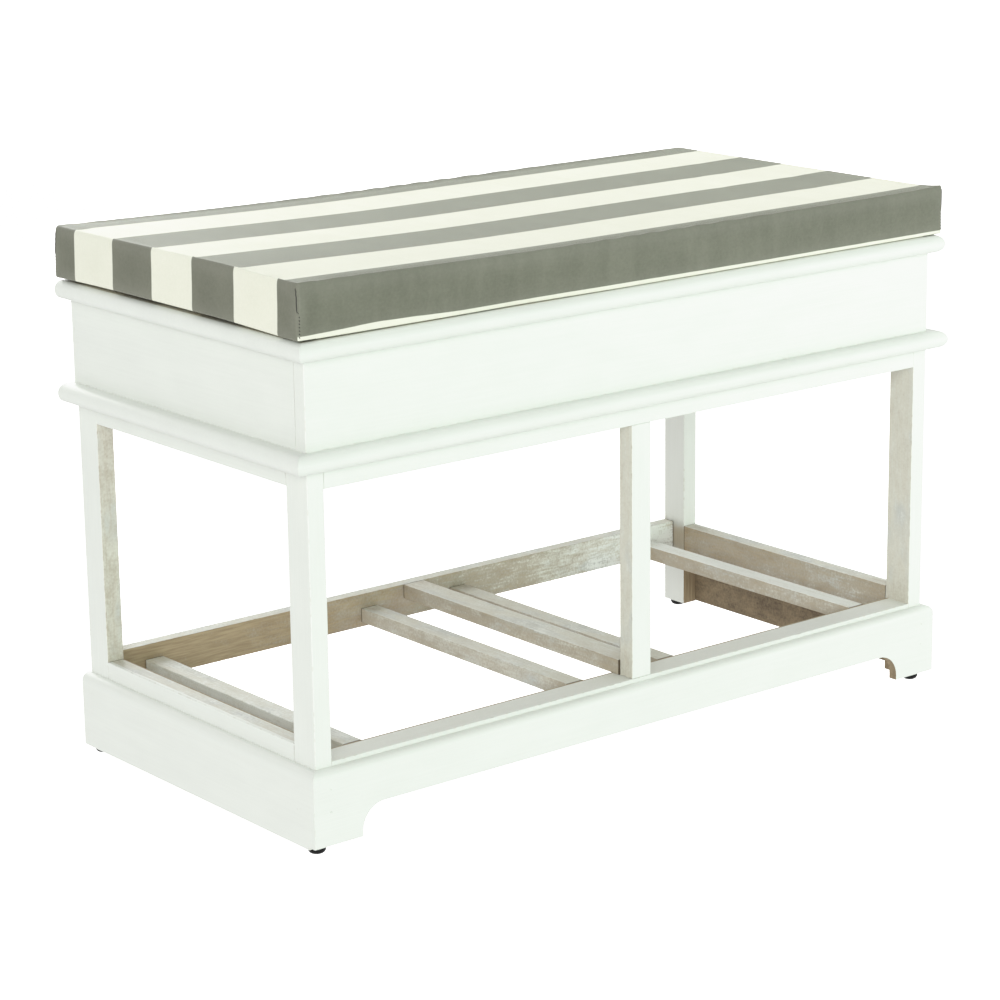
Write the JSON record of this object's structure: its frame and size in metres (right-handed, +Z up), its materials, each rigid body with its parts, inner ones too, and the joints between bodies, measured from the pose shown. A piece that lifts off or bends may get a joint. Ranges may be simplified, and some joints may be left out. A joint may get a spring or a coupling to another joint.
{
  "type": "hall bench",
  "caption": "Painted hall bench with open bays under a shallow lidded chest, a plinth cut as bracket feet and a loose striped box cushion on the lid.",
  "frame": {"origin": "middle of the bench's box at floor level", "axes": "+X along the bench to the right as seen from the front, +Y from the front to the back, +Z up"},
  "size_m": [0.8, 0.4, 0.5118],
  "materials": {
    "white_paint": "satin white paint with a faint grain",
    "whitewash": "thin white paint over raw wood",
    "raw_wood": "bare beech",
    "striped_cotton": "woven cotton in broad cream and grey-green stripes",
    "foam": "open-cell foam",
    "black_plastic": "moulded black plastic",
    "hinge_brass": "dull brass",
    "steel": "plain steel"
  },
  "bodies": {
    "frame": {"chest_front_panel": "white_paint", "chest_left_panel": "white_paint", "chest_right_panel": "white_paint", "chest_back_panel": "white_paint", "chest_floor_board": "white_paint", "front_left_post": "white_paint", "front_right_post": "white_paint", "rear_left_post": "white_paint", "rear_right_post": "white_paint", "centre_post": "white_paint", "front_top_rail": "white_paint", "back_top_rail": "white_paint", "left_top_rail": "white_paint", "right_top_rail": "white_paint", "front_bottom_rail": "white_paint", "left_bottom_rail": "white_paint", "right_bottom_rail": "white_paint", "front_plinth": "white_paint", "left_plinth": "white_paint", "right_plinth": "white_paint", "back_bottom_rail": "whitewash", "centre_divider": "whitewash", "left_outer_runner": "whitewash", "left_inner_runner": "whitewash", "right_inner_runner": "whitewash", "right_outer_runner": "whitewash", "hinge_rail": "whitewash", "frame_dowels": "raw_wood", "chest_dowels": "raw_wood", "foot_glides": "black_plastic", "left_hinge_frame_leaf": "hinge_brass", "left_hinge_pin": "hinge_brass", "right_hinge_frame_leaf": "hinge_brass", "right_hinge_pin": "hinge_brass", "hinge_frame_screws": "hinge_brass", "chest_floor_screws": "steel", "back_panel_nails": "steel", "plinth_brads": "steel", "glide_nails": "steel"},
    "lid": {"lid_board": "white_paint", "left_hinge_lid_leaf": "hinge_brass", "right_hinge_lid_leaf": "hinge_brass", "hinge_lid_screws": "hinge_brass"},
    "cushion": {"cushion_cover": "striped_cotton", "cushion_foam": "foam"}
  },
  "joints": [
    {"name": "lid_hinge", "type": "hinge", "parent": "frame", "child": "lid", "pos_m": [0, 0.1944, 0.4458], "axis": [-1, 0, 0], "range_deg": [0, 95]},
    {"name": "cushion_lift", "type": "slide", "parent": "lid", "child": "cushion", "axis": [0, 0, 1], "range_m": [0, 0.15]}
  ]
}
